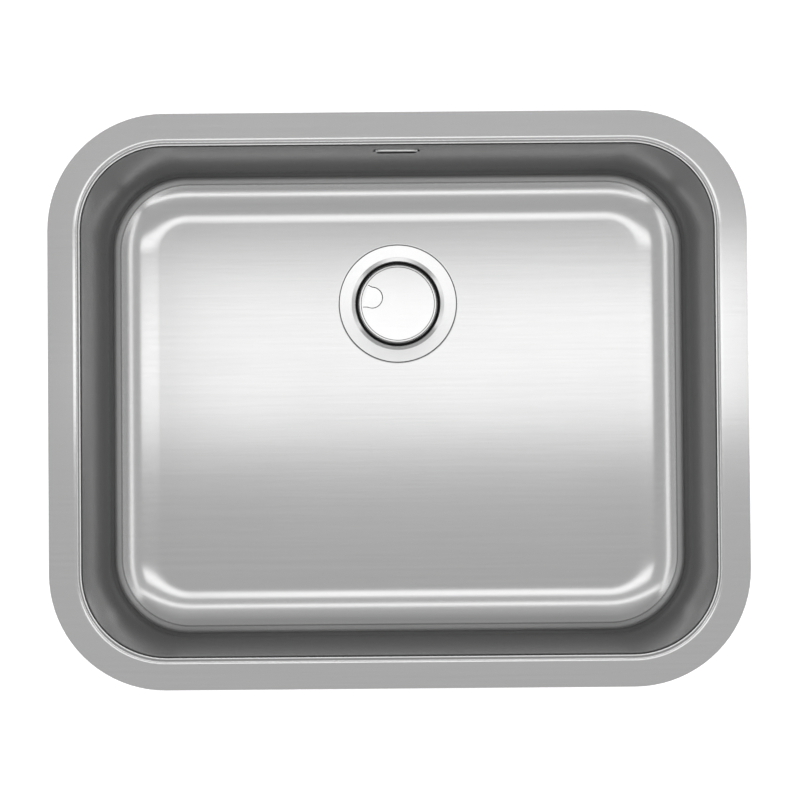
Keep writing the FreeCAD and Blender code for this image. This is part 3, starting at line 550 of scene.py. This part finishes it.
# painted reflection: a darker band at the top of the cove's straight band
PAINTED_BAND_TOP_REFLECTION = (-0.1703, 0.0004, 0.0012)
PAINTED_BAND_TOP_REFLECTION_TONE = 0.82
PAINTED_REFLECTION_LINE = (-0.1713, 0.0001, 0.0005)  # a fine dark line below the bend, a painted reflection
PAINTED_REFLECTION_LINE_TONE = 0.5


def grey(level):
    return (level, level, level)


def add_node(tree, kind, **settings):
    """A shader node, with its properties and unlinked inputs set by name."""
    made = tree.nodes.new(kind)
    for key, value in settings.items():
        if hasattr(made, key):
            setattr(made, key, value)
        else:
            made.inputs[key.replace("_", " ").title()].default_value = value
    return made


def new_group(name, inputs, outputs):
    """An empty node group with named number or colour sockets."""
    tree = bpy.data.node_groups.new(name, "ShaderNodeTree")
    for label, kind, value in inputs:
        socket = tree.interface.new_socket(label, in_out="INPUT", socket_type=kind)
        if value is not None:
            socket.default_value = value
    for label, kind in outputs:
        tree.interface.new_socket(label, in_out="OUTPUT", socket_type=kind)
    return tree, tree.nodes.new("NodeGroupInput"), tree.nodes.new("NodeGroupOutput")


def brushed_grain():
    """Long fine scratches along X, broken up by short ones, with a slow cloudiness under them."""
    tree, given, result = new_group(
        "brushed_grain",
        (
            ("Place", "NodeSocketVector", None),
            ("Along", "NodeSocketFloat", 14.0),
            ("Across", "NodeSocketFloat", 1500.0),
            ("Cloud", "NodeSocketFloat", 9.0),
        ),
        (("Streak", "NodeSocketFloat"), ("Cloudiness", "NodeSocketFloat"), ("Height", "NodeSocketFloat")),
    )
    link = tree.links.new
    stretch = add_node(tree, "ShaderNodeCombineXYZ")
    link(given.outputs["Along"], stretch.inputs["X"])
    link(given.outputs["Across"], stretch.inputs["Y"])
    link(given.outputs["Across"], stretch.inputs["Z"])
    scaled = add_node(tree, "ShaderNodeVectorMath", operation="MULTIPLY")
    link(given.outputs["Place"], scaled.inputs[0])
    link(stretch.outputs[0], scaled.inputs[1])
    fine = add_node(tree, "ShaderNodeTexNoise", scale=1.0, detail=3.0, roughness=0.62)
    link(scaled.outputs[0], fine.inputs["Vector"])
    broad = add_node(tree, "ShaderNodeTexNoise", scale=0.22, detail=2.0, roughness=0.5)
    link(scaled.outputs[0], broad.inputs["Vector"])
    cloud = add_node(tree, "ShaderNodeTexNoise", detail=3.0, roughness=0.55)
    link(given.outputs["Place"], cloud.inputs["Vector"])
    link(given.outputs["Cloud"], cloud.inputs["Scale"])
    both = add_node(tree, "ShaderNodeMix", data_type="FLOAT", factor=0.4)
    link(fine.outputs["Fac"], both.inputs["A"])
    link(broad.outputs["Fac"], both.inputs["B"])
    link(both.outputs["Result"], result.inputs["Streak"])
    link(cloud.outputs["Fac"], result.inputs["Cloudiness"])
    link(fine.outputs["Fac"], result.inputs["Height"])
    return tree


def moulded_grain():
    """The faint orange-peel and speckle of moulded plastic and rubber."""
    tree, given, result = new_group(
        "moulded_grain",
        (("Place", "NodeSocketVector", None), ("Size", "NodeSocketFloat", 900.0)),
        (("Speckle", "NodeSocketFloat"), ("Height", "NodeSocketFloat")),
    )
    link = tree.links.new
    fine = add_node(tree, "ShaderNodeTexNoise", detail=2.0, roughness=0.6)
    link(given.outputs["Place"], fine.inputs["Vector"])
    link(given.outputs["Size"], fine.inputs["Scale"])
    broad = add_node(tree, "ShaderNodeTexNoise", scale=35.0, detail=4.0, roughness=0.6)
    link(given.outputs["Place"], broad.inputs["Vector"])
    link(broad.outputs["Fac"], result.inputs["Speckle"])
    link(fine.outputs["Fac"], result.inputs["Height"])
    return tree


BRUSHED = brushed_grain()
MOULDED = moulded_grain()


def new_material(name):
    """A new material, its node tree and its Principled shader."""
    material = bpy.data.materials.new(name)
    material.use_nodes = True
    tree = material.node_tree
    return material, tree, tree.nodes["Principled BSDF"]


def spread(tree, value, low, high):
    """Maps a noise's middle band onto a range of values."""
    made = add_node(tree, "ShaderNodeMapRange")
    made.inputs["From Min"].default_value = NOISE_LOW
    made.inputs["From Max"].default_value = NOISE_HIGH
    made.inputs["To Min"].default_value = low
    made.inputs["To Max"].default_value = high
    tree.links.new(value, made.inputs["Value"])
    return made.outputs["Result"]


def two_tones(tree, value, dark, light):
    """A colour that runs between two tones with a noise's middle band."""
    ramp = add_node(tree, "ShaderNodeValToRGB")
    ramp.color_ramp.elements[0].position = NOISE_LOW
    ramp.color_ramp.elements[0].color = (*dark, 1)
    ramp.color_ramp.elements[1].position = NOISE_HIGH
    ramp.color_ramp.elements[1].color = (*light, 1)
    tree.links.new(value, ramp.inputs["Fac"])
    return ramp.outputs["Color"]


def bump(tree, shader, height, strength, distance):
    """A relief from a height pattern."""
    made = add_node(tree, "ShaderNodeBump")
    made.inputs["Strength"].default_value = strength
    made.inputs["Distance"].default_value = distance
    tree.links.new(height, made.inputs["Height"])
    tree.links.new(made.outputs["Normal"], shader.inputs["Normal"])


def toned(tree, colour, share):
    """A colour multiplied by a share that changes over the surface."""
    mix = add_node(tree, "ShaderNodeMix", data_type="RGBA", blend_type="MULTIPLY", factor=1.0)
    tree.links.new(colour, mix.inputs["A"])
    tree.links.new(share, mix.inputs["B"])
    return mix.outputs["Result"]


def blended(tree, share, plain, dulled):
    """A value that runs from its plain one to its dulled one."""
    mix = add_node(tree, "ShaderNodeMix", data_type="FLOAT")
    tree.links.new(share, mix.inputs["Factor"])
    for socket, value in (("A", plain), ("B", dulled)):
        if isinstance(value, float):
            mix.inputs[socket].default_value = value
        else:
            tree.links.new(value, mix.inputs[socket])
    return mix.outputs["Result"]


def painted_deep_shade(tree, place, colour, deep):
    """Painted shade: tones a colour down towards the bowl's floor."""
    height = add_node(tree, "ShaderNodeSeparateXYZ")
    tree.links.new(place, height.inputs[0])
    sunk = add_node(tree, "ShaderNodeMapRange", interpolation_type="SMOOTHSTEP")
    sunk.inputs["From Min"].default_value = DEEP_LEVEL
    sunk.inputs["From Max"].default_value = SHALLOW_LEVEL
    sunk.inputs["To Min"].default_value = deep
    tree.links.new(height.outputs["Z"], sunk.inputs["Value"])
    return toned(tree, colour, sunk.outputs["Result"])


def pressed_height(tree, place):
    """The height of a point as it was before the floor was dished round the waste."""
    to_waste = add_node(tree, "ShaderNodeVectorMath", operation="SUBTRACT")
    to_waste.inputs[1].default_value = (0, WASTE_BACK, 0)
    tree.links.new(place, to_waste.inputs[0])
    level = add_node(tree, "ShaderNodeVectorMath", operation="MULTIPLY")
    level.inputs[1].default_value = (1, 1, 0)
    tree.links.new(to_waste.outputs[0], level.inputs[0])
    square = add_node(tree, "ShaderNodeVectorMath", operation="DOT_PRODUCT")
    tree.links.new(level.outputs[0], square.inputs[0])
    tree.links.new(level.outputs[0], square.inputs[1])
    pushed = add_node(tree, "ShaderNodeMath", operation="MULTIPLY_ADD")
    pushed.inputs[1].default_value = -1 / (2 * FLOOR_DISH_RADIUS)
    pushed.inputs[2].default_value = DISH_DEPTH
    tree.links.new(square.outputs["Value"], pushed.inputs[0])
    height = add_node(tree, "ShaderNodeSeparateXYZ")
    tree.links.new(place, height.inputs[0])
    total = add_node(tree, "ShaderNodeMath", operation="ADD")
    tree.links.new(height.outputs["Z"], total.inputs[0])
    tree.links.new(pushed.outputs[0], total.inputs[1])
    return total.outputs[0]


def near_level(tree, height, band):
    """A mask that is 1 close to a band's level and falls to 0 away from it."""
    level, near, far = band
    away = add_node(tree, "ShaderNodeMath", operation="SUBTRACT")
    away.inputs[1].default_value = level
    tree.links.new(height, away.inputs[0])
    reach = add_node(tree, "ShaderNodeMath", operation="ABSOLUTE")
    tree.links.new(away.outputs[0], reach.inputs[0])
    mask = add_node(tree, "ShaderNodeMapRange", interpolation_type="SMOOTHSTEP")
    mask.inputs["From Min"].default_value = near
    mask.inputs["From Max"].default_value = far
    mask.inputs["To Min"].default_value = 1.0
    mask.inputs["To Max"].default_value = 0.0
    tree.links.new(reach.outputs[0], mask.inputs["Value"])
    return mask.outputs["Result"]


def drawn_bend_and_painted_shade(tree, shader, place, colour, gloss, deep):
    """Painted shade and painted reflection in the sheet's colour: darker deep in the bowl, dark lines just
    below the bend; and dull at the bend, where it was drawn tight.
    """
    height = pressed_height(tree, place)
    # painted shade: the colour darkens towards the bowl's floor
    colour = painted_deep_shade(tree, place, colour, deep)
    # painted reflection: two dark lines in the colour just below the bend
    for band, tone in ((PAINTED_BAND_TOP_REFLECTION, PAINTED_BAND_TOP_REFLECTION_TONE), (PAINTED_REFLECTION_LINE, PAINTED_REFLECTION_LINE_TONE)):
        colour = toned(tree, colour, blended(tree, near_level(tree, height, band), 1.0, tone))
    bend = near_level(tree, height, TIGHT_BEND)
    tree.links.new(blended(tree, bend, 1.0, TIGHT_BEND_METAL), shader.inputs["Metallic"])
    return colour, blended(tree, bend, gloss, TIGHT_BEND_ROUGHNESS)


def steel(name, dark, light, smooth, rough, along=14.0, relief=0.12, deep=None):
    """Brushed stainless steel: streaked tone, cloudy gloss and a scratch relief."""
    material, tree, shader = new_material(name)
    shader.inputs["Metallic"].default_value = 1.0
    shader.inputs["Specular Tint"].default_value = (*grey(GRAZING_TINT), 1)
    place = add_node(tree, "ShaderNodeTexCoord")
    grain = add_node(tree, "ShaderNodeGroup", node_tree=BRUSHED)
    grain.inputs["Along"].default_value = along
    tree.links.new(place.outputs["Object"], grain.inputs["Place"])
    colour = two_tones(tree, grain.outputs["Streak"], dark, light)
    gloss = spread(tree, grain.outputs["Cloudiness"], smooth, rough)
    # painted shade deep in the bowl and painted reflection lines below the bend
    if deep:
        colour, gloss = drawn_bend_and_painted_shade(tree, shader, place.outputs["Object"], colour, gloss, deep)
    tree.links.new(colour, shader.inputs["Base Color"])
    tree.links.new(gloss, shader.inputs["Roughness"])
    bump(tree, shader, grain.outputs["Height"], relief, STEEL_RELIEF)
    return material


def moulded(name, dark, light, rough, size=900.0, relief=0.15):
    """Moulded plastic or rubber: uneven tone, fine orange peel."""
    material, tree, shader = new_material(name)
    place = add_node(tree, "ShaderNodeTexCoord")
    grain = add_node(tree, "ShaderNodeGroup", node_tree=MOULDED)
    grain.inputs["Size"].default_value = size
    tree.links.new(place.outputs["Object"], grain.inputs["Place"])
    colour = two_tones(tree, grain.outputs["Speckle"], dark, light)
    tree.links.new(colour, shader.inputs["Base Color"])
    smooth, dull = rough - MOULDED_GLOSS_CHANGE, rough + MOULDED_GLOSS_CHANGE
    tree.links.new(spread(tree, grain.outputs["Height"], smooth, dull), shader.inputs["Roughness"])
    bump(tree, shader, grain.outputs["Height"], relief, MOULDED_RELIEF)
    return material


MATERIALS = {
    # the bowl's colour carries painted shade, 6 % darker deep down
    "bowl_steel": steel("bowl_steel", grey(0.43), grey(0.46), 0.147, 0.163, relief=0.02, deep=0.94),
    "dish_steel": steel("dish_steel", grey(0.44), grey(0.46), 0.14, 0.17, relief=0.02),
    "basket_steel": steel("basket_steel", grey(0.48), grey(0.55), 0.22, 0.30, relief=0.06),
    "stem_steel": steel("stem_steel", grey(0.5), grey(0.58), 0.16, 0.24, along=900.0, relief=0.04),
    "lid_steel": steel("lid_steel", grey(0.46), grey(0.48), 0.14, 0.17, relief=0.02),
    "trim_steel": steel("trim_steel", grey(0.58), grey(0.64), 0.10, 0.16, relief=0.02),
    "screw_steel": steel("screw_steel", grey(0.46), grey(0.54), 0.22, 0.32, along=900.0, relief=0.05),
    "insert_brass": steel("insert_brass", (0.55, 0.40, 0.16), (0.68, 0.52, 0.24), 0.22, 0.32, along=900.0),
    "waste_plastic": moulded("waste_plastic", grey(0.028), grey(0.04), 0.46),
    "hose_plastic": moulded("hose_plastic", grey(0.04), grey(0.055), 0.42),
    "seal_rubber": moulded("seal_rubber", grey(0.014), grey(0.022), 0.66, size=1400.0),
    "pad_rubber": moulded("pad_rubber", grey(0.035), grey(0.06), 0.78, size=600.0, relief=0.4),
}


# ---------------------------------------------------------------- assembly
# The pieces that are modelled here. The others are polished copies of their nodes.
MODELLED = {"sink_bowl": drawn_bowl, "strainer_dish": strainer_dish, "lid_disc": strainer_lid}


def dress_nodes():
    """Every node takes its slot's material."""
    for name, thing in NODES.items():
        material = MATERIALS[SLOT_OF[name]]
        if not thing.material_slots:
            thing.data.materials.append(material)
        for holder in thing.material_slots:
            holder.material = material


def finish_piece(piece, node):
    """Gives a piece the material and body of the node that it stands for."""
    piece.data.materials.clear()
    piece.data.materials.append(MATERIALS[SLOT_OF[node]])
    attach(piece, BODY_OF[node])
    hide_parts(node)


dress_nodes()
for node, make in MODELLED.items():
    finish_piece(make(), node)
for node in SLOT_OF:
    if node not in MODELLED:
        finish_piece(polished_copy(node), node)


# ---------------------------------------------------------------- floor, light and camera
CAMERA_HEIGHT = 1.742
CAMERA_FORWARD = -0.0345
CAMERA_RIGHT = 0.001
CAMERA_PITCH = math.radians(1.118)
CAMERA_ROLL = math.radians(-0.475)
CAMERA_LENS = 90.1
CAMERA_FAR = 30

FLOOR_SIZE = 9
FLOOR_GAP = 0.004
FLOOR_GLOW = 0.55  # lifts the floor to white for the camera alone
STUDIO_LEVELS = (  # angle from straight up in degrees, and brightness there
    (90, 2.9),
    (83, 1.85),
    (75, 1.15),
    (65, 0.47),
    (50, 0.56),
    (35, 0.89),
    (20, 0.87),
    (0, 0.87),
)
LAMP_HEIGHT = 2.0
LAMPS = (  # name, place, width, depth and radiance of each strip that faces the sink
    ("strip_back", (0, 0.88), 2.6, 0.21, 1.7),
    ("strip_front", (0, -1.52), 2.6, 0.25, 1.8),
    ("strip_right", (1.5, 0), 0.25, 2.6, 1.36),
    ("strip_left", (-1.587, 0), 0.25, 2.6, 1.5),
)


def studio_floor():
    """A plain pale floor under the sink. It shows white to the camera and keeps the shadow."""
    deselect_all()
    bpy.ops.mesh.primitive_plane_add(size=FLOOR_SIZE, location=(0, 0, cad_box[0][2] - FLOOR_GAP))
    floor = bpy.context.object
    floor.name = "studio_floor"
    material, tree, shader = new_material("studio_floor")
    shader.inputs["Base Color"].default_value = (0.8, 0.8, 0.8, 1)
    shader.inputs["Roughness"].default_value = 0.9
    seen = add_node(tree, "ShaderNodeLightPath")
    lift = add_node(tree, "ShaderNodeMath", operation="MULTIPLY")
    lift.inputs[1].default_value = FLOOR_GLOW
    tree.links.new(seen.outputs["Is Camera Ray"], lift.inputs[0])
    tree.links.new(lift.outputs[0], shader.inputs["Emission Strength"])
    shader.inputs["Emission Color"].default_value = (1, 1, 1, 1)
    floor.data.materials.append(material)


def studio_world():
    """A pale studio, even overhead and brightest near the horizon. White to the camera."""
    world = bpy.data.worlds.new("studio")
    bpy.context.scene.world = world
    world.use_nodes = True
    tree = world.node_tree
    background = tree.nodes["Background"]
    towards = add_node(tree, "ShaderNodeTexCoord")
    height = add_node(tree, "ShaderNodeSeparateXYZ")
    tree.links.new(towards.outputs["Generated"], height.inputs[0])
    levels = add_node(tree, "ShaderNodeFloatCurve")
    brightest = max(level for angle, level in STUDIO_LEVELS)
    curve = levels.mapping.curves[0]
    for angle, level in STUDIO_LEVELS[1:-1]:
        curve.points.new(math.cos(math.radians(angle)), level / brightest)
    curve.points[0].location = (0, STUDIO_LEVELS[0][1] / brightest)
    curve.points[-1].location = (1, STUDIO_LEVELS[-1][1] / brightest)
    for point in curve.points:
        point.handle_type = "VECTOR"
    levels.mapping.update()
    tree.links.new(height.outputs["Z"], levels.inputs["Value"])
    glow = add_node(tree, "ShaderNodeMath", operation="MULTIPLY")
    glow.inputs[1].default_value = brightest
    tree.links.new(levels.outputs["Value"], glow.inputs[0])
    seen = add_node(tree, "ShaderNodeLightPath")
    level = add_node(tree, "ShaderNodeMix", data_type="FLOAT")
    level.inputs["B"].default_value = 1.0
    tree.links.new(glow.outputs[0], level.inputs["A"])
    tree.links.new(seen.outputs["Is Camera Ray"], level.inputs["Factor"])
    tree.links.new(level.outputs["Result"], background.inputs["Strength"])
    background.inputs["Color"].default_value = (1, 1, 1, 1)


def softbox(name, place, target, width, depth, radiance):
    """A soft rectangular lamp that faces a point and has one brightness all over."""
    lamp = bpy.data.lights.new(name, "AREA")
    lamp.shape = "RECTANGLE"
    lamp.size = width
    lamp.size_y = depth
    lamp.energy = radiance * math.pi * width * depth
    holder = bpy.data.objects.new(name, lamp)
    holder.location = place
    away = Vector(place) - Vector(target)
    holder.rotation_euler = (math.atan2(-away.y, math.hypot(away.x, away.z)), math.atan2(away.x, away.z), 0)
    bpy.context.scene.collection.objects.link(holder)


def photo_camera():
    """The photograph's view: straight down from well above, a little in front of the middle."""
    camera = bpy.data.objects.new("photo_camera", bpy.data.cameras.new("photo_camera"))
    camera.data.lens = CAMERA_LENS
    camera.data.sensor_width = 36
    camera.location = (CAMERA_RIGHT, CAMERA_FORWARD, CAMERA_HEIGHT)
    camera.rotation_euler = (CAMERA_PITCH, 0, CAMERA_ROLL)
    camera.data.clip_end = CAMERA_FAR
    bpy.context.scene.collection.objects.link(camera)
    bpy.context.scene.camera = camera


studio_floor()
studio_world()
softbox("over_back", (0.105, 0.158, LAMP_HEIGHT), (0.105, 0.158, 0), 1.197, 0.345, 1.52)
for name, spot, width, depth, radiance in LAMPS:
    softbox(name, (*spot, LAMP_HEIGHT), (0, 0, 0), width, depth, radiance)
photo_camera()
bpy.context.scene.view_settings.view_transform = "Standard"
